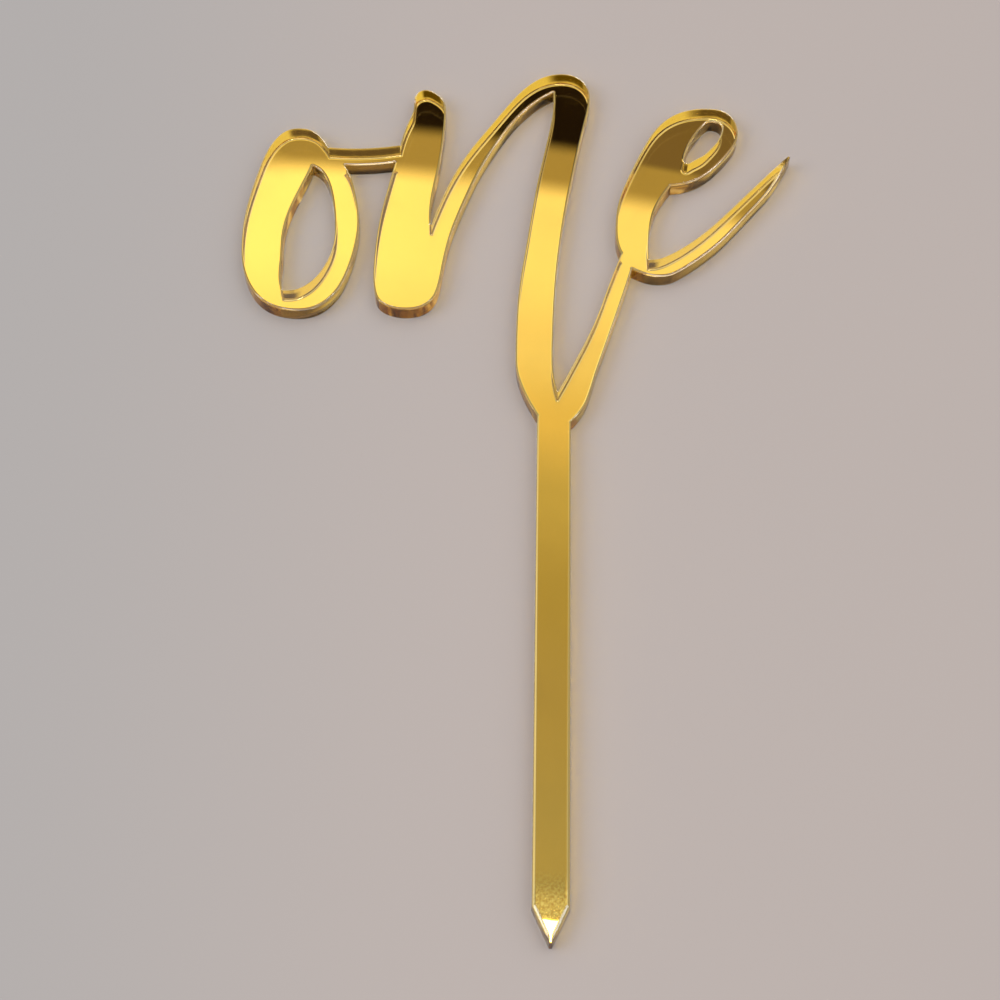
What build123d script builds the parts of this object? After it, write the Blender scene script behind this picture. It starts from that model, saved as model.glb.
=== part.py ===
from build123d import *
import os

# Number-word cake topper, cut in one outline from a sheet of mirror acrylic.
# It stands as on a cake: the word reads from -Y, +Z is up, lengths are millimetres.
# The origin is the middle of the pick's section at the cake's surface, where the word begins.

# Sheet, from the front face to the back face
acrylic_thickness = 2.85
film_thickness = 0.05
coat_thickness = 0.10

# Pick
pick_width = 6.0
pick_length = 93.4
point_length = 5.9
point_tip_width = 0.5

# Letter o and the bar that ties it to the n
o_width = 21.6
o_height = 42.2
o_foot_height = 21.7
o_gap = 2.9
bar_thickness = 4.25
bar_sag = 0.7

# Letter n, whose long right leg stands on the pick
n_width = 40.0
n_height = 78.3

# Rising link from the foot of the n to the e
link_run = 13.2
link_rise = 33.8

# Letter e and its exit stroke
e_width = 23.9
e_height = 39.9
exit_run = 30.5
exit_rise = 28.3

# Where one stroke meets the next, as shares of the letter's box
n_foot_share = 0.835
bar_on_o_share = (0.64, 0.845)
bar_on_n_share = (0.135, 0.7457)
link_on_e_share = (0.096, 0.085)
exit_on_e_share = (0.125, 0.0)

# Outlines as shares of each box's width and height, counted from its lower left corner
o_rim_shares = [
    (0.42, 1.00), (0.59, 0.965), (0.70, 0.885), (0.85, 0.785), (0.945, 0.65), (1.00, 0.47),
    (0.985, 0.345), (0.925, 0.20), (0.81, 0.075), (0.67, 0.015), (0.51, 0.00), (0.25, 0.04),
    (0.10, 0.135), (0.02, 0.265), (0.00, 0.39), (0.01, 0.525), (0.085, 0.75), (0.18, 0.91),
    (0.285, 0.98),
]
o_counter_right_shares = [
    (0.56, 0.78), (0.63, 0.755), (0.69, 0.705), (0.75, 0.60), (0.785, 0.47), (0.78, 0.335),
    (0.73, 0.25), (0.615, 0.155), (0.50, 0.115), (0.395, 0.11),
]
o_counter_left_shares = [
    (0.395, 0.11), (0.37, 0.165), (0.365, 0.28), (0.36, 0.37), (0.38, 0.485), (0.435, 0.59),
    (0.56, 0.78),
]
n_outside_shares = [
    (0.26, 0.532), (0.257, 0.57), (0.285, 0.689), (0.302, 0.78), (0.308, 0.88), (0.30, 0.906),
    (0.26, 0.931), (0.202, 0.943), (0.163, 0.932), (0.151, 0.908), (0.148, 0.875), (0.126, 0.838),
    (0.092, 0.76), (0.054, 0.655), (0.018, 0.54), (0.004, 0.425), (0.014, 0.34), (0.037, 0.308),
    (0.09, 0.29), (0.16, 0.284), (0.23, 0.291), (0.275, 0.309), (0.305, 0.345), (0.322, 0.40),
    (0.352, 0.492), (0.41, 0.592), (0.48, 0.692), (0.57, 0.787), (0.66, 0.861), (0.755, 0.913),
    (0.82, 0.937),
]
n_inside_shares = [
    (0.82, 0.937), (0.822, 0.905), (0.803, 0.82), (0.74, 0.633), (0.707, 0.50), (0.676, 0.375),
    (0.664, 0.29), (0.661, 0.18), (0.666, 0.125), (0.682, 0.092), (0.722, 0.041), (0.755, 0.009),
    (0.785, -0.018),
]
n_arch_shares = [
    (0.885, 0.03), (0.852, 0.073), (0.836, 0.11), (0.83, 0.18), (0.839, 0.344), (0.856, 0.46),
    (0.885, 0.575), (0.925, 0.70), (0.967, 0.818), (0.994, 0.89), (0.999, 0.935), (0.975, 0.972),
    (0.92, 0.995), (0.853, 1.00), (0.78, 0.991), (0.71, 0.967), (0.613, 0.906), (0.52, 0.832),
    (0.43, 0.758), (0.36, 0.686), (0.305, 0.61), (0.26, 0.532),
]
link_left_shares = [
    (-0.08, 0.075), (0.055, 0.17), (0.20, 0.29), (0.345, 0.417), (0.485, 0.545), (0.605, 0.675),
    (0.71, 0.81), (0.82, 0.94), (0.95, 1.09),
]
link_right_shares = [
    (1.11, 1.01), (1.04, 0.90), (0.925, 0.745), (0.785, 0.56), (0.675, 0.42), (0.577, 0.293),
    (0.485, 0.165), (0.43, 0.095), (0.35, 0.035), (0.23, -0.027), (0.15, -0.06),
]
e_back_shares = [
    (0.12, 0.07), (0.048, 0.128), (0.015, 0.20), (0.01, 0.285), (0.035, 0.425), (0.10, 0.55),
    (0.18, 0.672), (0.268, 0.79), (0.34, 0.866), (0.455, 0.94), (0.58, 0.98), (0.74, 0.997),
    (0.87, 0.988), (0.965, 0.94), (1.00, 0.86), (0.975, 0.785), (0.90, 0.708), (0.79, 0.626),
    (0.675, 0.566), (0.56, 0.534), (0.45, 0.522),
]
e_bowl_shares = [
    (0.45, 0.522), (0.385, 0.459), (0.325, 0.382), (0.288, 0.295), (0.27, 0.20), (0.268, 0.14),
    (0.275, 0.07),
]
e_eye_shares = [
    (0.77, 0.909), (0.82, 0.909), (0.86, 0.892), (0.866, 0.86), (0.843, 0.815), (0.771, 0.751),
    (0.70, 0.7055), (0.617, 0.672), (0.583, 0.662), (0.563, 0.672), (0.566, 0.695), (0.597, 0.756),
    (0.629, 0.797), (0.674, 0.843), (0.722, 0.884),
]
exit_low_shares = [
    (-0.035, 0.077), (0.059, 0.026), (0.115, 0.005), (0.174, 0.00), (0.235, 0.011), (0.295, 0.046),
    (0.416, 0.147), (0.541, 0.275), (0.67, 0.443), (0.80, 0.62), (0.87, 0.725), (0.93, 0.84),
    (0.97, 0.92), (1.00, 0.992),
]
exit_top_shares = [
    (0.988, 1.00), (0.93, 0.942), (0.80, 0.787), (0.67, 0.626), (0.55, 0.478), (0.42, 0.335),
    (0.298, 0.227), (0.22, 0.173), (0.165, 0.147), (0.10, 0.142), (0.01, 0.16),
]


def spot(corner, size, share):
    """Point at a share of a box."""
    return (corner[0] + share[0] * size[0], corner[1] + share[1] * size[1])


def curve(corner, size, shares, closed=False):
    """Smooth line through points given as shares of a box."""
    points = [spot(corner, size, share) for share in shares]
    return Spline(*points, periodic=closed)


def outline_face(*curves):
    """Face inside curves that follow each other, with straight lines over the breaks."""
    edges = []
    for index, first in enumerate(curves):
        following = curves[(index + 1) % len(curves)]
        edges.append(first)
        if (first @ 1 - following @ 0).length > 0:
            edges.append(Line(first @ 1, following @ 0))
    return make_face(edges)


# Boxes of the letters, each placed from the stroke that carries it
n_box = (n_width, n_height)
n_corner = (-n_foot_share * n_width, 0)
o_box = (o_width, o_height)
o_corner = (n_corner[0] - o_gap - o_width, o_foot_height)
link_box = (link_run, link_rise)
link_corner = (0, 0)
e_box = (e_width, e_height)
e_corner = (link_run - link_on_e_share[0] * e_width, link_rise - link_on_e_share[1] * e_height)
exit_box = (exit_run, exit_rise)
exit_corner = spot(e_corner, e_box, exit_on_e_share)


def letter_o():
    """Leaning ring with a pointed counter."""
    rim = make_face(curve(o_corner, o_box, o_rim_shares, closed=True))
    counter = outline_face(
        curve(o_corner, o_box, o_counter_right_shares),
        curve(o_corner, o_box, o_counter_left_shares),
    )
    return rim - counter


def bar():
    """Short, slightly sagging bar from inside the o to inside the first leg of the n."""
    start = Vector(*spot(o_corner, o_box, bar_on_o_share))
    end = Vector(*spot(n_corner, n_box, bar_on_n_share))
    half = Vector(0, bar_thickness / 2)
    middle = (start + end) / 2 - Vector(0, bar_sag)
    top = Spline(start + half, middle + half, end + half)
    bottom = Spline(end - half, middle - half, start - half)
    return outline_face(top, bottom)


def letter_n():
    """Heavy first leg, rising arch and long second leg that runs into the pick."""
    return outline_face(
        curve(n_corner, n_box, n_outside_shares),
        curve(n_corner, n_box, n_inside_shares),
        curve(n_corner, n_box, n_arch_shares),
    )


def link():
    """Thin stroke that climbs from the foot of the n into the back of the e."""
    return outline_face(
        curve(link_corner, link_box, link_left_shares),
        curve(link_corner, link_box, link_right_shares),
    )


def letter_e():
    """Looped e with a narrow eye."""
    body = outline_face(
        curve(e_corner, e_box, e_back_shares),
        curve(e_corner, e_box, e_bowl_shares),
    )
    eye = make_face(curve(e_corner, e_box, e_eye_shares, closed=True))
    return body - eye


def exit_stroke():
    """Tapering stroke that leaves the foot of the e and ends in a fine tip."""
    return outline_face(
        curve(exit_corner, exit_box, exit_low_shares),
        curve(exit_corner, exit_box, exit_top_shares),
    )


def pick():
    """Straight flat pick with a pointed end, rooted in the foot of the word."""
    half = pick_width / 2
    half_tip = point_tip_width / 2
    root = half / 2
    shoulder = point_length - pick_length
    return make_face(
        Polyline(
            (-half, root),
            (half, root),
            (half, shoulder),
            (half_tip, -pick_length),
            (-half_tip, -pick_length),
            (-half, shoulder),
            close=True,
        )
    )


def layer(outline, back, thickness):
    """One layer of the sheet, whose rear face lies at y = back."""
    return extrude(Plane.XZ.offset(-back) * outline, amount=thickness)


# One cut outline for all layers of the sheet
outline = letter_n() + letter_o() + bar() + link() + letter_e() + exit_stroke() + pick()

# The sheet is centred on y = 0
coat_back = (acrylic_thickness + film_thickness + coat_thickness) / 2
film_back = coat_back - coat_thickness
acrylic_back = film_back - film_thickness

pieces = {
    "tinted_acrylic_sheet": layer(outline, acrylic_back, acrylic_thickness),
    "mirror_film": layer(outline, film_back, film_thickness),
    "backing_coat": layer(outline, coat_back, coat_thickness),
}

os.makedirs("parts", exist_ok=True)
for node, piece in pieces.items():
    export_step(piece, f"parts/{node}.step")
    box = piece.bounding_box()
    print(node, len(piece.solids()), "solid", round(piece.volume, 2), "mm3", box.min, box.max)
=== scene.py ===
# %% [markdown]
# # A gold mirror cake topper
# The real thing is one sheet of mirror acrylic, cut by laser into a linked script word on a pick.
# Three layers make up the sheet: clear amber acrylic in front, a metal mirror behind it and grey
# lacquer on the back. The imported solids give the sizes, and this lesson gives each layer its finish.

# %% Load the frame
import math

import bpy
import numpy as np
from mathutils import Matrix, Vector, geometry


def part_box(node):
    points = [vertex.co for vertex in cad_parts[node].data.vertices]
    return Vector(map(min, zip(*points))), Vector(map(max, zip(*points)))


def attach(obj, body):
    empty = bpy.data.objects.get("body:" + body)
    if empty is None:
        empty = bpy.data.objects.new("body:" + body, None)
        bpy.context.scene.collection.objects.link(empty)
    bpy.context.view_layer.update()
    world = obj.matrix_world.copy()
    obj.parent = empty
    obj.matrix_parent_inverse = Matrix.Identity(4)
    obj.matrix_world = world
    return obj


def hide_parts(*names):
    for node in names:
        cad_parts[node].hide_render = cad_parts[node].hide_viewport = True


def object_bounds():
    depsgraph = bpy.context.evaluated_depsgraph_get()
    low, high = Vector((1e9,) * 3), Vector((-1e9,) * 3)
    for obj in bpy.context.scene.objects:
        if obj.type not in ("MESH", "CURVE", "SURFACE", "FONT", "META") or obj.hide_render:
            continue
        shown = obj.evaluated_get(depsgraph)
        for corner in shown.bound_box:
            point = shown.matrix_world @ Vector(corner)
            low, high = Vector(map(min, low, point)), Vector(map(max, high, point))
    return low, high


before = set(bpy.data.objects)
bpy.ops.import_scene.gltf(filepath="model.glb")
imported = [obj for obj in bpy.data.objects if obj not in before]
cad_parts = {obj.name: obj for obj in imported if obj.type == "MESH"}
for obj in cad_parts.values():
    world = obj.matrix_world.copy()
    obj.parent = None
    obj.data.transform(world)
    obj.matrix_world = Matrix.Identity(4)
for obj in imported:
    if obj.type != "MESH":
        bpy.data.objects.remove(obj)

cad_low, cad_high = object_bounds()
MM = 0.001
print("solid box in mm:", [round(side / MM, 2) for side in cad_high - cad_low])

# %% [markdown]
# The photograph looks at the sheet from below its middle, so the pick's end is nearest. Such a view
# takes the focal length in pixels, the tilt to the sheet, the distance, a small roll and the pixel
# where the frame's origin is seen. The pick's converging sides tie the focal length to the tilt but
# fix neither, so the tilt is chosen. Building the camera's axes from these values makes that choice
# plain and easy to change.

# %% Camera at the photograph's viewing angle
IMAGE_SIDE = 1000
FOCAL_PIXELS = 1940
TILT = math.radians(29.0)
ROLL = math.radians(1.08)
DISTANCE = 331.0 * MM
ORIGIN_PIXEL = (554.0, 417.0)
SENSOR = 36.0
CLIP_RATIO = 100

right = Vector((math.cos(ROLL), 0, math.sin(ROLL)))
sheet_up = Vector((-math.sin(ROLL), 0, math.cos(ROLL)))
into_sheet = Vector((0, 1, 0))
front_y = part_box("tinted_acrylic_sheet")[0].y


def sheet_offset(pixel):
    """How far right of and above the picture's middle a pixel lies, on the sheet's front plane."""
    rise = IMAGE_SIDE / 2 - pixel[1]
    up = rise * DISTANCE / (FOCAL_PIXELS * math.cos(TILT) - rise * math.sin(TILT))
    across = (pixel[0] - IMAGE_SIDE / 2) * (DISTANCE + up * math.sin(TILT)) / FOCAL_PIXELS
    return across, up


across, up = sheet_offset(ORIGIN_PIXEL)
target = front_y * into_sheet - across * right - up * sheet_up
towards_camera = -math.cos(TILT) * into_sheet - math.sin(TILT) * sheet_up
image_up = math.cos(TILT) * sheet_up - math.sin(TILT) * into_sheet

camera_data = bpy.data.cameras.new("photo_camera")
camera_data.sensor_width = SENSOR
camera_data.lens = SENSOR * FOCAL_PIXELS / IMAGE_SIDE
camera_data.clip_start = DISTANCE / CLIP_RATIO
camera_data.clip_end = DISTANCE * CLIP_RATIO
camera = bpy.data.objects.new("photo_camera", camera_data)
camera_axes = Matrix((right, image_up, towards_camera)).transposed().to_4x4()
camera.matrix_world = Matrix.Translation(target + DISTANCE * towards_camera) @ camera_axes
bpy.context.scene.collection.objects.link(camera)
bpy.context.scene.camera = camera
print("camera at", [round(part / MM, 1) for part in camera.matrix_world.translation], "mm")

# %% [markdown]
# Every layer shares one cut outline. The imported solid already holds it, as the rim of its front face,
# but in short straight chords that a mirror edge would show as facets. So the rim is read from the
# solid, split at its sharp corners, and a smooth curve is laid through the points in between.

# %% Read the cut outline from the solid
FRONT_FACING = -0.9
CORNER_TURN = math.radians(20)
PLACES = 7


def front_rims(node):
    """Closed loops of (x, z) points round the front face, with the material on their left."""
    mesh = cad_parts[node].data
    steps = set()
    for face in mesh.polygons:
        if face.normal.y > FRONT_FACING:
            continue
        corners = [mesh.vertices[index].co for index in face.vertices]
        keys = [(round(corner.x, PLACES), round(corner.z, PLACES)) for corner in corners]
        steps.update(zip(keys, keys[1:] + keys[:1]))
    following = {start: end for start, end in sorted(steps) if (end, start) not in steps}
    loops = []
    while following:
        here = next(iter(following))
        loop = []
        while here in following:
            loop.append(Vector(here))
            here = following.pop(here)
        loops.append(loop)
    return loops


def turn_between(before, after):
    """Angle from one direction to the next, positive to the left."""
    return math.atan2(before.x * after.y - before.y * after.x, before.dot(after))


def sharp_corners(loop):
    """Places in the loop where the cut changes direction at once."""
    found = []
    for index, point in enumerate(loop):
        following = loop[(index + 1) % len(loop)]
        if abs(turn_between(point - loop[index - 1], following - point)) > CORNER_TURN:
            found.append(index)
    return found


rims = front_rims("tinted_acrylic_sheet")
corners_of_rims = [sharp_corners(rim) for rim in rims]
print("rim points:", [len(rim) for rim in rims])
print("sharp corners:", [len(found) for found in corners_of_rims])

# %% [markdown]
# A smooth curve through known points needs a slope at each of them. Taking it from the two
# neighbours, weighted by their distances, gives a curve that keeps close to the real cut. New points
# then go along it, close enough together that no chord can be seen. Straight stretches are divided
# too, because long thin faces would twist where the rounding changes along them.

# %% Lay a smooth curve through each stretch
SPACING = 0.26 * MM


def curve_through(points, closed=False):
    """Closely spaced points along a smooth curve through the given ones."""
    count = len(points)
    spans = count if closed else count - 1
    steps = [points[(i + 1) % count] - points[i] for i in range(spans)]
    rates = [step / step.length for step in steps]
    slopes = []
    for i in range(count):
        ahead = i % spans
        before, after = steps[i - 1].length, steps[ahead].length
        slopes.append((rates[i - 1] * after + rates[ahead] * before) / (before + after))
    if not closed:
        slopes[0] = 2 * rates[0] - slopes[1]
        slopes[-1] = 2 * rates[-1] - slopes[-2]
    line = []
    for i, step in enumerate(steps):
        start, end = points[i], points[(i + 1) % count]
        leave, arrive = slopes[i] * step.length, slopes[(i + 1) % count] * step.length
        pieces = max(1, int(step.length / SPACING))
        for piece in range(pieces):
            t = piece / pieces
            u = 1 - t
            line.append(
                start * (u * u * (1 + 2 * t))
                + end * (t * t * (3 - 2 * t))
                + leave * (t * u * u)
                - arrive * (t * t * u)
            )
    return line if closed else line + [points[-1]]


print("curve points about every", SPACING / MM, "mm")

# %% [markdown]
# To round an edge, each rim point must know which way is inwards. On a smooth stretch that is square
# to the curve. An outer corner gets one mitred point, and an inner corner gets a small fan of points
# about the width of the laser's cut, because a beam can't leave a perfectly sharp inner corner.

# %% Rim points with their inward directions
KERF_RADIUS = 0.05 * MM
FAN_STEP = math.radians(18)


def left_of(direction):
    """Unit direction to the left, which is into the material."""
    return Vector((-direction.y, direction.x)).normalized()


def corner_points(place, before, after):
    """Rim points of one corner, as (place, inward offset, normal before it, normal after it)."""
    turn = turn_between(before, after)
    if turn > 0:
        return [(place, (before + after) / (1 + before.dot(after)), before, after)]
    count = math.ceil(-turn / FAN_STEP)
    fan = []
    for step in range(count + 1):
        inward = Matrix.Rotation(turn * step / count, 2) @ before
        fan.append((place + KERF_RADIUS * inward, inward, inward, inward))
    return fan


def rim_points(loop, corners):
    """All points of one finished rim, in order."""
    made = []
    if not corners:
        line = curve_through(loop, closed=True)
        for i, place in enumerate(line):
            inward = left_of(line[(i + 1) % len(line)] - line[i - 1])
            made.append((place, inward, inward, inward))
        return made
    stretches = []
    for start, end in zip(corners, corners[1:] + [corners[0] + len(loop)]):
        stretches.append(curve_through([loop[i % len(loop)] for i in range(start, end + 1)]))
    for i, line in enumerate(stretches):
        before = left_of(stretches[i - 1][-1] - stretches[i - 1][-2])
        after = left_of(line[1] - line[0])
        made += corner_points(line[0], before, after)
        for j in range(1, len(line) - 1):
            inward = left_of(line[j + 1] - line[j - 1])
            made.append((line[j], inward, inward, inward))
    return made


finished_rims = [rim_points(rim, found) for rim, found in zip(rims, corners_of_rims)]
print("finished rim points:", [len(rim) for rim in finished_rims])

# %% [markdown]
# The rolled front edge is a little wider down the pick than on the word. A bevel of one width would
# fold over at the fine ends of the exit stroke and the pick, which are thinner than two rolls. So the
# radius at each rim point is held to a share of the material that lies inwards of it, and at a corner
# also to a share of the way to the nearest other corner.

# %% Room for the rounding at each rim point
EDGE_ROUND = 0.42 * MM
PICK_ROUND = 0.65 * MM
PICK_BLEND = 80 * MM
ROUND_SHARE = 0.28
CORNER_SHARE = 0.42
SKIP = 0.15 * MM

wall_starts = np.array([point for rim in rims for point in rim])
wall_ends = np.array([point for rim in rims for point in rim[1:] + rim[:1]])
wall_steps = wall_ends - wall_starts


def cross(a, b):
    """Cross product of plane vectors."""
    return a[..., 0] * b[..., 1] - a[..., 1] * b[..., 0]


def room_inside(place, inward):
    """Width of the material, measured inwards from a rim point."""
    ray = np.array(inward.normalized())
    gaps = wall_starts - np.array(place)
    with np.errstate(divide="ignore", invalid="ignore"):
        along = cross(gaps, wall_steps) / cross(ray, wall_steps)
        share = cross(gaps, ray) / cross(ray, wall_steps)
    hits = along[(along > SKIP) & (share >= 0) & (share <= 1)]
    return float(hits.min()) if len(hits) else EDGE_ROUND


def edge_round(place):
    """Radius of the rolled edge, which grows down the pick."""
    share = min(max(-place.y / PICK_BLEND, 0), 1)
    return EDGE_ROUND + (PICK_ROUND - EDGE_ROUND) * share * share * (3 - 2 * share)


def rounding(rim):
    """Radius at every rim point, kept small between corners that lie close together."""
    corners = [place for place, _, before, after in rim if before != after]
    radii = []
    for place, inward, before, after in rim:
        radius = min(edge_round(place), ROUND_SHARE * room_inside(place, inward))
        if before != after:
            gaps = [(place - other).length for other in corners if other is not place]
            radius = min([radius] + [CORNER_SHARE * gap for gap in gaps])
        radii.append(radius)
    return radii


rounds = [rounding(rim) for rim in finished_rims]
smallest = min(min(radii) for radii in rounds)
largest = max(max(radii) for radii in rounds)
print("rounding in mm from", round(smallest / MM, 3), "to", round(largest / MM, 3))

# %% [markdown]
# A mirror edge shows the smallest dent in its shading. Smooth shading would guess each normal from
# the faces around it and bend the flat faces near the roll. This small mesh builder keeps the exact
# normal of every face corner instead, also where the roll grows or shrinks along the rim.

# %% A mesh that keeps its own normals


class LayerMesh:
    """Collects points, faces and the normal of every face corner."""

    def __init__(self):
        self.points = []
        self.faces = []
        self.normals = []

    def ring(self, rim, insets, depths):
        """Adds one ring of points, inside the solid's box, and gives back where it starts."""
        start = len(self.points)
        for (place, inward, _, _), inset, y in zip(rim, insets, depths):
            moved = place + inset * inward
            x = min(max(moved.x, cad_low.x), cad_high.x)
            z = min(max(moved.y, cad_low.z), cad_high.z)
            self.points.append((x, y, z))
        return start

    def strip(self, rim, radii, lower, upper, lower_angle, upper_angle):
        """Joins two rings with faces whose normals roll from one angle to the other."""
        for i in range(len(rim)):
            j = (i + 1) % len(rim)
            self.faces.append((lower + i, lower + j, upper + j, upper + i))
            taper = (radii[j] - radii[i]) / (rim[j][0] - rim[i][0]).length
            for inward, angle in (
                (rim[i][3], lower_angle),
                (rim[j][2], lower_angle),
                (rim[j][2], upper_angle),
                (rim[i][3], upper_angle),
            ):
                out = math.cos(angle)
                front = math.sin(angle)
                along = taper * (out + front - 1)
                normal = Vector((
                    along * inward.y - out * inward.x,
                    -front,
                    -along * inward.x - out * inward.y,
                ))
                self.normals.append(normal.normalized())

    def fill(self, starts, rims, side):
        """Closes one end with flat triangles, the front for side -1 and the back for side 1."""
        loops = []
        numbers = []
        for start, rim in zip(starts, rims):
            ring = self.points[start:start + len(rim)]
            loops.append([Vector((x, z, 0)) for x, _, z in ring])
            numbers += range(start, start + len(rim))
        for a, b, c in geometry.tessellate_polygon(loops):
            pa, pb, pc = (self.points[numbers[k]] for k in (a, b, c))
            area = (pb[0] - pa[0]) * (pc[2] - pa[2]) - (pb[2] - pa[2]) * (pc[0] - pa[0])
            order = (a, b, c) if area * side < 0 else (a, c, b)
            self.faces.append(tuple(numbers[k] for k in order))
            self.normals += [(0, side, 0)] * 3

    def piece(self, name):
        """Makes the object."""
        mesh = bpy.data.meshes.new(name)
        mesh.from_pydata(self.points, [], self.faces)
        mesh.polygons.foreach_set("use_smooth", [True] * len(mesh.polygons))
        mesh.normals_split_custom_set(self.normals)
        made = bpy.data.objects.new(name, mesh)
        bpy.context.scene.collection.objects.link(made)
        return made


print("mesh builder steps: ring, strip, fill, piece")

# %% [markdown]
# The acrylic layer is built ring by ring: rings up a slightly barrel-shaped wall, as a laser can leave
# it, then rings that roll over the melted front edge, with a flat fill at both ends. The size of the
# roll and the lean of the wall were chosen by comparing renders with the photograph. The layer's back
# sinks a hair into the mirror, so that light meets the metal straight from the plastic, with no film
# of air between them.

# %% Build the acrylic layer
ROUND_STEPS = 8
WALL_LEAN = math.radians(2.6)
WALL_STEPS = 4
BOND = 0.01 * MM

acrylic_back_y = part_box("tinted_acrylic_sheet")[1].y + BOND


def wall_inset(thickness, radius):
    """How far the top of the wall leans inwards, which is less where the roll is small."""
    return math.tan(WALL_LEAN) / 2 * (thickness - radius) * min(1, radius / EDGE_ROUND)


def wall_and_roll(layer, rim, radii, layer_front, layer_back):
    """Adds the wall and the rolled edge of one rim, and gives back its first and last rings."""
    thickness = layer_back - layer_front
    sweep = math.pi / 2 - WALL_LEAN
    leans = [wall_inset(thickness, radius) for radius in radii]
    rises = [thickness - radius * (1 - math.sin(WALL_LEAN)) for radius in radii]
    back_start = layer.ring(rim, [0] * len(rim), [layer_back] * len(rim))
    lower, lower_angle = back_start, 0.0
    for step in range(1, WALL_STEPS):
        share = step / WALL_STEPS
        angle = WALL_LEAN * share
        insets = [lean * share * share for lean in leans]
        upper = layer.ring(rim, insets, [layer_back - share * rise for rise in rises])
        layer.strip(rim, radii, lower, upper, lower_angle, angle)
        lower, lower_angle = upper, angle
    for step in range(ROUND_STEPS + 1):
        angle = WALL_LEAN + sweep * step / ROUND_STEPS
        insets = [lean + radius * (1 - math.cos(angle)) for lean, radius in zip(leans, radii)]
        depths = [layer_front + radius * (1 - math.sin(angle)) for radius in radii]
        upper = layer.ring(rim, insets, depths)
        layer.strip(rim, radii, lower, upper, lower_angle, angle)
        lower, lower_angle = upper, angle
    return back_start, lower


def rounded_layer(name, layer_front, layer_back):
    """One layer of the sheet whose front edge is rolled over."""
    layer = LayerMesh()
    back_starts = []
    front_starts = []
    for rim, radii in zip(finished_rims, rounds):
        back_start, front_start = wall_and_roll(layer, rim, radii, layer_front, layer_back)
        back_starts.append(back_start)
        front_starts.append(front_start)
    layer.fill(front_starts, finished_rims, -1)
    layer.fill(back_starts, finished_rims, 1)
    return layer.piece(name)


amber_acrylic = rounded_layer("amber_acrylic", front_y, acrylic_back_y)
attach(amber_acrylic, "root")
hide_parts("tinted_acrylic_sheet")
print("acrylic layer points:", len(amber_acrylic.data.vertices))
print("acrylic layer faces:", len(amber_acrylic.data.polygons))

# %% [markdown]
# Materials are trees of nodes. Small helpers that make a node, set its values and link its inputs
# keep each tree short enough to read from top to bottom.

# %% Node helpers


def put(tree, kind, inputs=None, **settings):
    """Adds a node, with its settings, and its inputs given as values or as sockets to link."""
    made = tree.nodes.new(kind)
    for name, value in settings.items():
        setattr(made, name, value)
    for name, value in (inputs or {}).items():
        if isinstance(value, bpy.types.NodeSocket):
            tree.links.new(value, made.inputs[name])
        else:
            made.inputs[name].default_value = value
    return made


def new_material(name):
    """A material with an empty tree and its output node."""
    material = bpy.data.materials.new(name)
    material.use_nodes = True
    material.node_tree.nodes.clear()
    output = put(material.node_tree, "ShaderNodeOutputMaterial")
    return material, material.node_tree, output


def new_group(name, inputs, outputs):
    """A shader node group with float inputs and outputs, and its two end nodes."""
    tree = bpy.data.node_groups.new(name, "ShaderNodeTree")
    for label, value in inputs.items():
        socket = tree.interface.new_socket(label, in_out="INPUT", socket_type="NodeSocketFloat")
        socket.default_value = value
    for label in outputs:
        tree.interface.new_socket(label, in_out="OUTPUT", socket_type="NodeSocketFloat")
    return tree, put(tree, "NodeGroupInput"), put(tree, "NodeGroupOutput")


def place_group(tree, group, **inputs):
    """Places a node group in a tree."""
    values = {name.replace("_", " "): value for name, value in inputs.items()}
    return put(tree, "ShaderNodeGroup", values, node_tree=group)


print("node makers: put, new_material, new_group, place_group")

# %% [markdown]
# Most nodes in this lesson do one of four small jobs: sums, a smooth change from one value to
# another, a mix of two colours or values, and a noise pattern. Each job gets a short helper.

# %% Helpers for sums, changes, mixes and noise


def math_node(tree, operation, first, second=None):
    """Output of a Math node."""
    made = put(tree, "ShaderNodeMath", operation=operation)
    for socket, value in zip(made.inputs, (first, second)):
        if isinstance(value, bpy.types.NodeSocket):
            tree.links.new(value, socket)
        elif value is not None:
            socket.default_value = value
    return made.outputs[0]


def remap(tree, value, low, high, to_low, to_high):
    """Output of a smooth Map Range node."""
    made = put(
        tree,
        "ShaderNodeMapRange",
        {"Value": value, "From Min": low, "From Max": high, "To Min": to_low, "To Max": to_high},
        interpolation_type="SMOOTHSTEP",
    )
    return made.outputs["Result"]


def blend(tree, factor, first, second):
    """Output of a Mix node for two colours."""
    made = put(tree, "ShaderNodeMix", {"Factor": factor, "A": first, "B": second}, data_type="RGBA")
    return made.outputs[2]


def blend_value(tree, factor, first, second):
    """Output of a Mix node for two values."""
    made = put(tree, "ShaderNodeMix", {"Factor": factor, "A": first, "B": second}, data_type="FLOAT")
    return made.outputs[0]


def noise(tree, place, **inputs):
    """Value of a Noise texture, with its other inputs given by name."""
    return put(tree, "ShaderNodeTexNoise", {"Vector": place, **inputs}).outputs["Fac"]


print("value helpers: math_node, remap, blend, blend_value, noise")

# %% [markdown]
# Cast sheet that has been handled shows hairline scratches and faint smears when light rakes over it.
# All three layers need that, so it is a node group. Stretched noise gives the scratches: a noise that
# is drawn out along one direction turns its blobs into lines. Three directions keep them from looking
# brushed.

# %% Handling marks, as a node group
SCRATCH_TURNS = (0.3, 1.1, 2.2)
SCRATCH_STRETCH = (1.0, 1.0, 60.0)
SCRATCH_RANGE = (0.70, 0.80)
SMEAR_RANGE = (0.4, 0.75)

marks_group, marks_in, marks_out = new_group(
    "handling_marks", {"Scratch Scale": 900.0, "Smear Scale": 60.0}, ("Scratches", "Smears")
)


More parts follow.
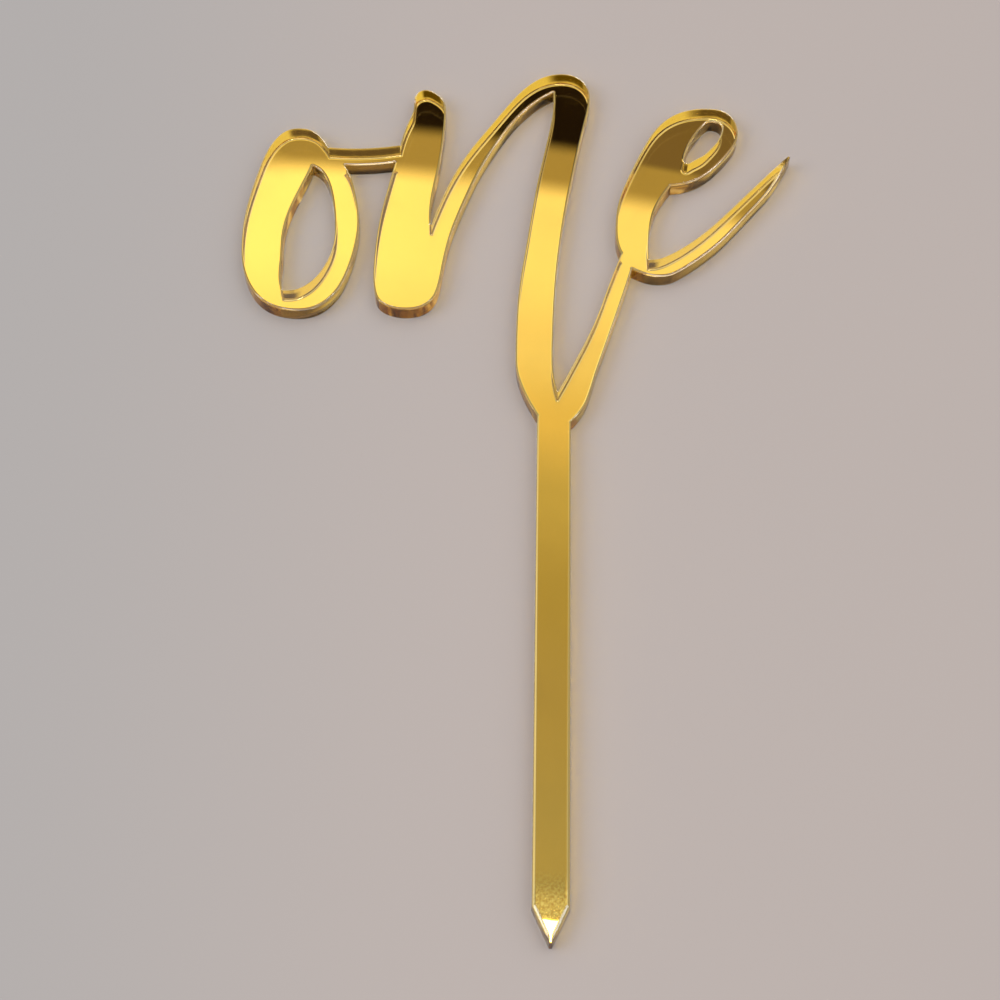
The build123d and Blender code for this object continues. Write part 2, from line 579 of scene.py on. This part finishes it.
def scratch_lines(tree, coordinates, scale, turn):
    """Thin broken lines along one direction of the sheet."""
    turned = put(
        tree,
        "ShaderNodeMapping",
        {"Vector": coordinates, "Rotation": (0, turn, 0), "Scale": SCRATCH_STRETCH},
        vector_type="TEXTURE",
    )
    lines = noise(tree, turned.outputs[0], Scale=scale, Detail=2.0)
    return remap(tree, lines, *SCRATCH_RANGE, 0.0, 1.0)


place = put(marks_group, "ShaderNodeTexCoord").outputs["Object"]
scratches = None
for turn in SCRATCH_TURNS:
    lines = scratch_lines(marks_group, place, marks_in.outputs["Scratch Scale"], turn)
    scratches = lines if scratches is None else math_node(marks_group, "MAXIMUM", scratches, lines)
smear = noise(marks_group, place, Scale=marks_in.outputs["Smear Scale"], Detail=4.0)
smears = remap(marks_group, smear, *SMEAR_RANGE, 0.0, 1.0)
marks_group.links.new(scratches, marks_out.inputs["Scratches"])
marks_group.links.new(smears, marks_out.inputs["Smears"])
print("handling marks:", len(marks_group.nodes), "nodes")

# %% [markdown]
# A laser leaves a brown, finely streaked wall and melts the edge above it to a roll. The surface's own
# normal tells these apart: it lies in the sheet's plane on a wall, along the thickness on a face and
# in between on the roll. Noise that ignores the thickness direction gives straight streaks.

# %% Laser-cut edge, as a node group
WALL_TO_ROLL = (0.10, 0.30)
ROLL_TO_FACE = (0.94, 0.995)
IN_SHEET_PLANE = (1, 0, 1)

cut_group, cut_in, cut_out = new_group(
    "laser_cut_edge", {"Streak Scale": 700.0}, ("Wall", "Roll", "Streaks")
)
about = put(cut_group, "ShaderNodeTexCoord")
facing = put(cut_group, "ShaderNodeSeparateXYZ", {"Vector": about.outputs["Normal"]}).outputs["Y"]
facing = math_node(cut_group, "ABSOLUTE", facing)
above_wall = remap(cut_group, facing, *WALL_TO_ROLL, 0.0, 1.0)
off_face = remap(cut_group, facing, *ROLL_TO_FACE, 1.0, 0.0)
flat = put(
    cut_group,
    "ShaderNodeVectorMath",
    {0: about.outputs["Object"], 1: IN_SHEET_PLANE},
    operation="MULTIPLY",
)
streak_scale = cut_in.outputs["Streak Scale"]
streaks = noise(cut_group, flat.outputs[0], Scale=streak_scale, Detail=3.0, Roughness=0.6)
for label, value in (
    ("Wall", math_node(cut_group, "SUBTRACT", 1.0, above_wall)),
    ("Roll", math_node(cut_group, "MULTIPLY", above_wall, off_face)),
    ("Streaks", streaks),
):
    cut_group.links.new(value, cut_out.inputs[label])
print("laser-cut edge:", len(cut_group.nodes), "nodes")

# %% [markdown]
# Amber acrylic is clear plastic that takes its gold from a dye. It could be faked with a gold metal,
# but then the cut edges would look flat. Here light enters the sheet, is tinted as it crosses the
# surface, meets the mirror and bends at the walls, so each edge shows fine lines that a plain gold metal
# would not. The first step is the gold of the faces, scuffed just above the pick's point, where darker
# and paler spots in the gold are painted speckles of reflection.

# %% Amber acrylic: gold faces, scuffed near the point, with painted speckles of reflection
GOLD = (1.0, 0.63, 0.085, 1)
PAINTED_SPECKLE_DARK = (0.62, 0.36, 0.03, 1)
PAINTED_SPECKLE_PALE = (1.0, 0.84, 0.25, 1)
SPOT_RANGE = (0.42, 0.58)
SPOT_STRENGTH = 0.8
POINT_TOP = -80.5 * MM
POINT_LOW = -87.0 * MM
POINT_CLEAR = -89.1 * MM
POINT_SOFT = 0.4 * MM

acrylic, tree, output = new_material("amber_acrylic")
about = put(tree, "ShaderNodeTexCoord")
place = about.outputs["Object"]
height_on_pick = put(tree, "ShaderNodeSeparateXYZ", {"Vector": place}).outputs["Z"]
scuffed = remap(tree, height_on_pick, POINT_LOW, POINT_TOP, 1.0, 0.0)
spotted = remap(tree, height_on_pick, POINT_CLEAR - POINT_SOFT, POINT_CLEAR, 0.0, SPOT_STRENGTH)
wear_and_painted_speckle = math_node(tree, "MULTIPLY", scuffed, spotted)
# Darker and paler spots near the point are painted speckles of reflection laid into the gold; the scuffs
# themselves are relief.
spots = noise(tree, place, Scale=2000.0, Detail=4.0, Roughness=0.7)
painted_speckle_color = blend(tree, remap(tree, spots, *SPOT_RANGE, 0.0, 1.0), PAINTED_SPECKLE_DARK, PAINTED_SPECKLE_PALE)
gold = blend(tree, wear_and_painted_speckle, GOLD, painted_speckle_color)
print("worn from", round(POINT_TOP / MM, 1), "to", round(POINT_CLEAR / MM, 1), "mm along the pick")

# %% [markdown]
# The cut walls are browner than the faces. Walls that look to the lower left get a darker amber and
# those that look to the upper right a paler one, chosen by the wall's own direction: painted shade on
# one side and painted light on the other. The roll above them is melted clear.

# %% Amber acrylic: roll and cut walls, with painted shade and light by direction
ROLL_CLEAR = (1.0, 0.90, 0.90, 1)
WALL_PAINTED_LIT = (0.50, 0.32, 0.06, 1)
WALL_PAINTED_SHADE = (0.17, 0.085, 0.012, 1)
UPPER_RIGHT = (0.8, 0, 0.6)
PALER_RANGE = (-0.15, 0.20)

cut = place_group(tree, cut_group, Streak_Scale=900.0)
tint = blend(tree, cut.outputs["Roll"], gold, ROLL_CLEAR)
up_right = put(
    tree,
    "ShaderNodeVectorMath",
    {0: about.outputs["Normal"], 1: UPPER_RIGHT},
    operation="DOT_PRODUCT",
)
# Walls that face the upper right get the painted light amber and the others get the painted shade amber.
paler = remap(tree, up_right.outputs["Value"], *PALER_RANGE, 0.0, 1.0)
wall_color = blend(tree, paler, WALL_PAINTED_SHADE, WALL_PAINTED_LIT)
tint = blend(tree, cut.outputs["Wall"], tint, wall_color)
print("wall colours from", WALL_PAINTED_SHADE[:3], "to", WALL_PAINTED_LIT[:3])

# %% [markdown]
# Polish and relief come next. The faces are polished but for their hairline scratches, the walls are
# satin and streaked, and the worn end has scuffs a fraction of a micrometre deep, which is all that a
# mirror needs to break up its reflection.

# %% Amber acrylic: polish and relief
FACE_ROUGHNESS = (0.004, 0.03)
WALL_ROUGHNESS = (0.03, 0.10)
STREAK_RANGE = (0.3, 0.7)
STREAK_STRENGTH = 0.3
STREAK_DEPTH = 0.05 * MM
SCUFF_DEPTH = 0.0003 * MM
NOISE_MIDDLE = 0.5

marks = place_group(tree, marks_group, Scratch_Scale=900.0, Smear_Scale=45.0)
face_roughness = remap(tree, marks.outputs["Scratches"], 0.0, 1.0, *FACE_ROUGHNESS)
wall_roughness = remap(tree, cut.outputs["Streaks"], *STREAK_RANGE, *WALL_ROUGHNESS)
roughness = blend_value(tree, cut.outputs["Wall"], face_roughness, wall_roughness)
streak_height = math_node(tree, "MULTIPLY", cut.outputs["Streaks"], cut.outputs["Wall"])
streaked = put(
    tree,
    "ShaderNodeBump",
    {"Height": streak_height, "Strength": STREAK_STRENGTH, "Distance": STREAK_DEPTH},
)
scuffs = noise(tree, place, Scale=1600.0, Detail=3.0, Roughness=0.6)
scuff_height = math_node(tree, "MULTIPLY", math_node(tree, "SUBTRACT", scuffs, NOISE_MIDDLE), wear_and_painted_speckle)
relief = put(
    tree,
    "ShaderNodeBump",
    {
        "Height": scuff_height,
        "Strength": 1.0,
        "Distance": SCUFF_DEPTH,
        "Normal": streaked.outputs[0],
    },
)
print("scuffs up to", round(SCUFF_DEPTH / MM * 1000, 2), "micrometres deep")

# %% [markdown]
# The shader brings these together as a clear plastic with the refraction of acrylic. A little dye in
# the volume deepens the colour where light runs a long way inside the sheet, as it does at the edges.

# %% Amber acrylic: shader
DYE_COLOR = (0.98, 0.78, 0.25, 1)
DYE_DENSITY = 30.0
ACRYLIC_IOR = 1.49

plastic = put(
    tree,
    "ShaderNodeBsdfPrincipled",
    {
        "Base Color": tint,
        "Roughness": roughness,
        "Normal": relief.outputs[0],
        "IOR": ACRYLIC_IOR,
        "Transmission Weight": 1.0,
    },
)
dye = put(tree, "ShaderNodeVolumeAbsorption", {"Color": DYE_COLOR, "Density": DYE_DENSITY})
tree.links.new(plastic.outputs[0], output.inputs["Surface"])
tree.links.new(dye.outputs[0], output.inputs["Volume"])
amber_acrylic.data.materials.append(acrylic)
print("amber acrylic:", len(tree.nodes), "nodes")

# %% [markdown]
# The mirror is a thin layer of metal on the back of the acrylic. It is taken to be plain aluminium, so
# all of its gold comes from the acrylic in front of it. A faint cloudiness keeps it from looking
# computed.

# %% Mirror metal
MIRROR_CLEAN = (0.93, 0.93, 0.92, 1)
MIRROR_CLOUDY = (0.88, 0.88, 0.87, 1)
MIRROR_ROUGHNESS = (0.01, 0.03)

mirror, tree, output = new_material("mirror_metal")
marks = place_group(tree, marks_group, Scratch_Scale=700.0, Smear_Scale=80.0)
cloud = blend(tree, marks.outputs["Smears"], MIRROR_CLEAN, MIRROR_CLOUDY)
roughness = remap(tree, marks.outputs["Smears"], 0.0, 1.0, *MIRROR_ROUGHNESS)
metal = put(
    tree,
    "ShaderNodeBsdfPrincipled",
    {"Base Color": cloud, "Roughness": roughness, "Metallic": 1.0},
)
tree.links.new(metal.outputs[0], output.inputs["Surface"])
mirror_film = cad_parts["mirror_film"]
mirror_film.material_slots[0].material = mirror
print("mirror metal:", len(tree.nodes), "nodes")

# %% [markdown]
# The back is sprayed with a protective lacquer. The photograph doesn't show it, so its grey is a
# guess at what such sheet usually has. Sprayed lacquer is never quite even: it has a fine orange-peel
# skin with dark specks, a light mottling and the scratches of handling, each at its own scale.

# %% Grey back lacquer
LACQUER_DARK = (0.26, 0.27, 0.285, 1)
LACQUER_PALE = (0.43, 0.435, 0.44, 1)
LACQUER_SPECK = (0.15, 0.155, 0.165, 1)
LACQUER_SCRATCH = (0.52, 0.52, 0.52, 1)
LACQUER_ROUGHNESS = (0.38, 0.52)
MOTTLE_RANGE = (0.34, 0.66)
SPECK_RANGE = (0.62, 0.72)
SPECK_STRENGTH = 0.45
PEEL_STRENGTH = 0.5
PEEL_DEPTH = 0.06 * MM

lacquer, tree, output = new_material("grey_back_lacquer")
marks = place_group(tree, marks_group, Scratch_Scale=1100.0, Smear_Scale=35.0)
place = put(tree, "ShaderNodeTexCoord").outputs["Object"]
peel = noise(tree, place, Scale=1800.0, Detail=2.0)
mottle = noise(tree, place, Scale=120.0, Detail=5.0)
cloudy = remap(tree, mottle, *MOTTLE_RANGE, 0.0, 1.0)
grey = blend(tree, cloudy, LACQUER_DARK, LACQUER_PALE)
specks = remap(tree, peel, *SPECK_RANGE, 0.0, SPECK_STRENGTH)
grey = blend(tree, specks, grey, LACQUER_SPECK)
grey = blend(tree, marks.outputs["Scratches"], grey, LACQUER_SCRATCH)
roughness = remap(tree, marks.outputs["Smears"], 0.0, 1.0, *LACQUER_ROUGHNESS)
skin = put(
    tree,
    "ShaderNodeBump",
    {"Height": peel, "Strength": PEEL_STRENGTH, "Distance": PEEL_DEPTH},
)
paint = put(
    tree,
    "ShaderNodeBsdfPrincipled",
    {"Base Color": grey, "Roughness": roughness, "Normal": skin.outputs[0]},
)
tree.links.new(paint.outputs[0], output.inputs["Surface"])
backing_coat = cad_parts["backing_coat"]
backing_coat.material_slots[0].material = lacquer
print("grey back lacquer:", len(tree.nodes), "nodes")

# %% [markdown]
# The topper lies on a pale warm table top. In the frame it stands upright, so the table top is a
# plane just behind it. Seen from behind it is clear, and it blocks no light on its way to other
# things, because it would otherwise hide the back of the topper or leave it black.

# %% Pale table top
TABLE_SIDE = 3.0
TABLE_GAP = 0.05 * MM

table_y = cad_high.y + TABLE_GAP
half = TABLE_SIDE / 2
table_mesh = bpy.data.meshes.new("table_top")
table_mesh.from_pydata(
    [(-half, table_y, -half), (half, table_y, -half), (half, table_y, half), (-half, table_y, half)],
    [],
    [(0, 1, 2, 3)],
)
table_top = bpy.data.objects.new("table_top", table_mesh)
bpy.context.scene.collection.objects.link(table_top)
table_top.visible_diffuse = False
table_top.visible_shadow = False
print("table top faces", [round(part, 1) for part in table_mesh.polygons[0].normal])

# %% [markdown]
# The table's paint is matte and almost even, with a painted falloff of the light that makes it a little
# darker and cooler towards the left. Geometry's Backfacing tells its two sides apart, so that one Mix
# Shader makes it clear from behind.

# %% Table paint
TABLE_COLOR = (0.519, 0.455, 0.429, 1)
TABLE_LEFT_PAINTED_DIM = (0.446, 0.420, 0.412, 1)
TABLE_WARM = (0.512, 0.450, 0.426, 1)
TABLE_WARMER = (0.526, 0.460, 0.432, 1)
TABLE_FADE = (-0.11, 0.0)

table_material, tree, output = new_material("table_top")
place = put(tree, "ShaderNodeTexCoord").outputs["Object"]
mottle = noise(tree, place, Scale=14.0, Detail=4.0)
across_table = put(tree, "ShaderNodeSeparateXYZ", {"Vector": place}).outputs["X"]
# Painted falloff of the light: the table gets darker and cooler towards the left.
painted_falloff = remap(tree, across_table, *TABLE_FADE, 0.0, 1.0)
warm = blend(tree, mottle, TABLE_WARM, TABLE_WARMER)
matte = put(tree, "ShaderNodeBsdfDiffuse", {"Color": blend(tree, painted_falloff, TABLE_LEFT_PAINTED_DIM, warm)})
clear = put(tree, "ShaderNodeBsdfTransparent")
behind = put(tree, "ShaderNodeNewGeometry").outputs["Backfacing"]
one_sided = put(tree, "ShaderNodeMixShader", {0: behind, 1: matte.outputs[0], 2: clear.outputs[0]})
tree.links.new(one_sided.outputs[0], output.inputs["Surface"])
table_mesh.materials.append(table_material)
print("table paint:", len(tree.nodes), "nodes")

# %% [markdown]
# A mirror shows its surroundings, so the studio matters as much as the material. Reflections see a
# studio of level bands in front of the sheet, set to what the photograph's mirror shows: a dim
# wall, a bright strip and a dark edge above it, all leaning a little. A colour ramp could hold them
# too, but a Map Range for each change keeps its two ends as plain numbers.

# %% Studio directions
LEAN = 0.09
SAG = 0.6
SIDE_LIMIT = 0.15

world = bpy.data.worlds.new("studio")
bpy.context.scene.world = world
world.use_nodes = True
tree = world.node_tree
tree.nodes.clear()
sight = put(tree, "ShaderNodeTexCoord").outputs["Generated"]
parts = put(tree, "ShaderNodeSeparateXYZ", {"Vector": sight})
side = parts.outputs["X"]
rise = parts.outputs["Z"]
near_side = math_node(tree, "MAXIMUM", math_node(tree, "MINIMUM", side, SIDE_LIMIT), -SIDE_LIMIT)
slope = math_node(tree, "ADD", math_node(tree, "MULTIPLY", near_side, SAG), LEAN)
level = math_node(tree, "ADD", rise, math_node(tree, "MULTIPLY", near_side, slope))
print("studio directions: side, rise and a level that leans by", LEAN)

# %% [markdown]
# Each band says where it starts, where it is full and which colour it has, from the lowest to the
# highest. The lower bands are brighter towards the left, and the dark edge is laid over them.

# %% Studio bands in front of the sheet
FLOOR = (0.55, 0.53, 0.51, 1)
BANDS = [
    (-0.35, 0.05, (0.85, 0.83, 0.81, 1)),
    (0.289, 0.291, (0.82, 0.80, 0.74, 1)),
    (0.2965, 0.309, (0.465, 0.48, 0.485, 1)),
    (0.33, 0.40, (0.445, 0.435, 0.395, 1)),
    (0.40, 0.445, (0.46, 0.445, 0.335, 1)),
    (0.445, 0.487, (0.59, 0.58, 0.45, 1)),
    (0.487, 0.522, (0.87, 0.80, 0.58, 1)),
    (0.522, 0.553, (1.03, 1.03, 0.98, 1)),
    (0.553, 0.585, (1.25, 1.25, 1.20, 1)),
]
TOP_BANDS = [
    (0.614, 0.6235, (0.45, 0.41, 0.31, 1)),
    (0.632, 0.6385, (0.014, 0.010, 0.012, 1)),
    (0.672, 0.70, (0.45, 0.38, 0.38, 1)),
]
LEFT_FADE = (-0.13, 0.04)
LEFT_GAIN = 1.28


def add_bands(color, bands):
    """Lays bands over a colour, each given by where it starts, where it is full and its colour."""
    for low, high, band_color in bands:
        color = blend(tree, remap(tree, level, low, high, 0.0, 1.0), color, band_color)
    return color


def scaled(color, factor):
    """A colour times a value."""
    made = put(tree, "ShaderNodeVectorMath", {0: color, "Scale": factor}, operation="SCALE")
    return made.outputs[0]


color = add_bands(FLOOR, BANDS)
color = scaled(color, remap(tree, side, *LEFT_FADE, LEFT_GAIN, 1.0))
color = add_bands(color, TOP_BANDS)
print("studio bands:", len(BANDS) + len(TOP_BANDS))

# %% [markdown]
# A few patches break up the bands: the dark edge fades to brown on the right, and a narrow bright
# window low down turns the pick's point white. Round about, the studio is dim above and pale below,
# with one light curtain on the right for the rolled edges.

# %% Patches in the studio
BROWN = (0.205, 0.172, 0.16, 1)
BROWN_SIDE = (0.045, 0.058)
BROWN_LEVEL = (0.636, 0.69, 0.004)
CURTAIN = (0.88, 0.88, 0.88, 1)
CURTAIN_SIDE = (0.14, 0.50, 0.06)
CURTAIN_RISE = (0.18, 0.50, 0.05)
DIM = (0.42, 0.41, 0.36, 1)
PALE = (0.85, 0.84, 0.82, 1)
DIM_RISE = (-0.10, 0.20)
BANDS_END = (0.15, 0.22)
WINDOW = (18.0, 18.0, 18.0, 1)
WINDOW_SIDE = (-0.01, 0.07, 0.015)
WINDOW_LEVEL = (0.276, 0.2906, 0.0005)


def between(value, low, high, soft):
    """One between two values and nought outside, with soft ends."""
    opening = remap(tree, value, low - soft, low, 0.0, 1.0)
    closing = remap(tree, value, high, high + soft, 1.0, 0.0)
    return math_node(tree, "MULTIPLY", opening, closing)


def patch(color, patch_color, first_mask, second_mask):
    """Lays a colour over another one where two masks overlap."""
    return blend(tree, math_node(tree, "MULTIPLY", first_mask, second_mask), color, patch_color)


far_side = math_node(tree, "ABSOLUTE", side)
around = blend(tree, remap(tree, rise, *DIM_RISE, 0.0, 1.0), PALE, DIM)
around = patch(around, CURTAIN, between(side, *CURTAIN_SIDE), between(rise, *CURTAIN_RISE))
brown_part = remap(tree, side, *BROWN_SIDE, 0.0, 1.0)
color = patch(color, BROWN, brown_part, between(level, *BROWN_LEVEL))
color = blend(tree, remap(tree, far_side, *BANDS_END, 0.0, 1.0), color, around)
color = patch(color, WINDOW, between(side, *WINDOW_SIDE), between(level, *WINDOW_LEVEL))
print("studio nodes:", len(tree.nodes))

# %% [markdown]
# Inside the sheet, light takes different ways to the camera: straight off the surface, through the
# sheet to the mirror and back, turned at a cut wall, or guided on and on between the faces. In a real
# room they would all see the same surroundings. With these bands alone the edges didn't match the
# photograph, so Light Path's Ray Depth, which counts the surfaces met, gives each way its own light.
# That is a studio trick, and under other light the edges look different.

# %% Light for each way through the sheet
ONCE_END = (2.4, 2.6)
TURNED_DEPTH = (4.6, 5.4, 0.2)
GHOST_DEPTH = (5.6, 8.4, 0.2)
GUIDED_START = (8.4, 8.6)
LOW_RISE = (0.0, 0.15)
SHEEN = (0.95, 0.97, 0.90, 1)
SHEEN_SIDE = (0.34, 0.46)
SHADE = (0.12, 0.09, 0.0, 1)
SHADE_SIDE = (0.16, 0.50)
SHADE_SPREAD = (0.575, 0.71, 0.025)
GHOST = (0.06, 0.05, 0.04, 1)
GUIDED = (2.0, 2.0, 2.0, 1)

path = put(tree, "ShaderNodeLightPath")
crossings = path.outputs["Ray Depth"]
turned = between(crossings, *TURNED_DEPTH)
low_down = remap(tree, rise, *LOW_RISE, 1.0, 0.0)
side_squared = math_node(tree, "MULTIPLY", side, side)
rise_squared = math_node(tree, "MULTIPLY", rise, rise)
spread = math_node(tree, "SQRT", math_node(tree, "ADD", side_squared, rise_squared))
color = patch(color, SHEEN, turned, remap(tree, side, *SHEEN_SIDE, 0.0, 1.0))
shade = math_node(tree, "MULTIPLY", turned, low_down)
shade = math_node(tree, "MULTIPLY", shade, remap(tree, side, *SHADE_SIDE, 1.0, 0.0))
color = patch(color, SHADE, shade, between(spread, *SHADE_SPREAD))
color = patch(color, GHOST, between(crossings, *GHOST_DEPTH), low_down)
color = blend(tree, remap(tree, crossings, *GUIDED_START, 0.0, 1.0), color, GUIDED)
once = remap(tree, crossings, *ONCE_END, 1.0, 0.0)
print("studio nodes:", len(tree.nodes))

# %% [markdown]
# Bright lamps that only the surface itself reflects draw thin lines on the rolled edges: two low ones
# left and right light the slants of the point, and a high one lights the upper right.

# %% Lamps for the rolled edges
LAMPS = (9.0, 9.0, 9.0, 1)
LOW_LAMP_SIDE = (0.16, 0.95, 0.05)
LOW_LAMP_DROP = (0.17, 0.27, 0.03)
LOW_LAMP_SLOPE = 0.36
HIGH_LAMP_SIDE = (0.10, 0.52, 0.06)
HIGH_LAMP_RISE = (0.84, 0.97, 0.03)

low_lamps = math_node(tree, "MULTIPLY", once, between(far_side, *LOW_LAMP_SIDE))
drop = math_node(tree, "ADD", rise, math_node(tree, "MULTIPLY", far_side, LOW_LAMP_SLOPE))
color = patch(color, LAMPS, low_lamps, between(drop, *LOW_LAMP_DROP))
high_lamp = math_node(tree, "MULTIPLY", once, between(side, *HIGH_LAMP_SIDE))
color = patch(color, LAMPS, high_lamp, between(rise, *HIGH_LAMP_RISE))
print("studio nodes:", len(tree.nodes))

# %% [markdown]
# Light that reaches the table through the amber walls comes mostly from the lower left, which leaves
# a warm glow on the table at the upper right of each stroke. Such rays have left the table first, so
# their Diffuse Depth tells them from what the camera sees in the mirror.

# %% Warm glow on the table
GLOW_LIT = (6.5, 7.2, 5.5, 1)
GLOW_SHADED = (0.6, 0.6, 0.6, 1)
GLOW_PLAIN = (0.9, 0.9, 0.9, 1)
GLOW_RANGE = (-0.3, 0.2)
GLOW_DIAGONAL = 0.7
THROUGH_SHEET = (3.4, 3.6)
FROM_TABLE = (0.4, 0.6)

away = math_node(tree, "MULTIPLY", math_node(tree, "ADD", side, rise), GLOW_DIAGONAL)
glow = blend(tree, remap(tree, away, *GLOW_RANGE, 0.0, 1.0), GLOW_LIT, GLOW_SHADED)
glow = blend(tree, remap(tree, crossings, *THROUGH_SHEET, 0.0, 1.0), GLOW_PLAIN, glow)
from_table = remap(tree, path.outputs["Diffuse Depth"], *FROM_TABLE, 0.0, 1.0)
color = blend(tree, from_table, color, glow)
print("studio nodes:", len(tree.nodes))

# %% [markdown]
# Only reflections, and light that comes through the clear plastic, see that studio. Matte surfaces get
# soft light instead, which keeps the table free of patches, and the camera sees the table's own colour
# beyond its edge.

# %% Soft light and backdrop
SOFT_EDGE = 0.2
SOFT_FRONT = 0.94
WHITE = (1, 1, 1, 1)

mirrored = put(tree, "ShaderNodeBackground", {"Color": color, "Strength": 1.0})
square_on = math_node(tree, "ABSOLUTE", parts.outputs["Y"])
softness = math_node(tree, "ADD", math_node(tree, "MULTIPLY", square_on, SOFT_FRONT), SOFT_EDGE)
soft = put(tree, "ShaderNodeBackground", {"Color": WHITE, "Strength": softness})
backdrop = put(tree, "ShaderNodeBackground", {"Color": TABLE_COLOR, "Strength": 1.0})
seen = put(
    tree,
    "ShaderNodeMixShader",
    {0: path.outputs["Is Glossy Ray"], 1: soft.outputs[0], 2: mirrored.outputs[0]},
)
shown = put(
    tree,
    "ShaderNodeMixShader",
    {0: path.outputs["Is Camera Ray"], 1: seen.outputs[0], 2: backdrop.outputs[0]},
)
put(tree, "ShaderNodeOutputWorld", {"Surface": shown.outputs[0]})
print("soft light from the sides and from the front:", SOFT_EDGE, SOFT_EDGE + SOFT_FRONT)

# %% [markdown]
# One large lamp stands on the left, a little below the topper's middle, like a window. It adds to the
# soft light and gives it a direction, with a soft shadow on the table. Reflections don't see it,
# because the studio bands already hold what the mirror shows.

# %% Window lamp
LAMP_DISTANCE = 1.6
LAMP_AZIMUTH = math.radians(-50)
LAMP_ELEVATION = math.radians(-8)
LAMP_SIDE = 0.9
LAMP_RADIANCE = 2.9

towards_lamp = Vector((
    math.sin(LAMP_AZIMUTH) * math.cos(LAMP_ELEVATION),
    -math.cos(LAMP_AZIMUTH) * math.cos(LAMP_ELEVATION),
    math.sin(LAMP_ELEVATION),
))
lamp_data = bpy.data.lights.new("window_lamp", "AREA")
lamp_data.size = LAMP_SIDE
lamp_data.energy = LAMP_RADIANCE * math.pi * LAMP_SIDE ** 2
window_lamp = bpy.data.objects.new("window_lamp", lamp_data)
window_lamp.location = target + LAMP_DISTANCE * towards_lamp
window_lamp.rotation_mode = "QUATERNION"
window_lamp.rotation_quaternion = (-towards_lamp).to_track_quat("-Z", "Y")
window_lamp.visible_glossy = False
window_lamp.visible_transmission = False
bpy.context.scene.collection.objects.link(window_lamp)
print("window lamp:", round(lamp_data.energy, 1), "W")

# %% [markdown]
# Light crosses several surfaces inside the sheet before it comes out again, so it is allowed more
# bounces than usual. Standard view keeps the colours as they are written.

# %% Render settings
scene = bpy.context.scene
scene.view_settings.view_transform = "Standard"
scene.cycles.max_bounces = 48
scene.cycles.glossy_bounces = 40
scene.cycles.transmission_bounces = 24
print("view:", scene.view_settings.view_transform)
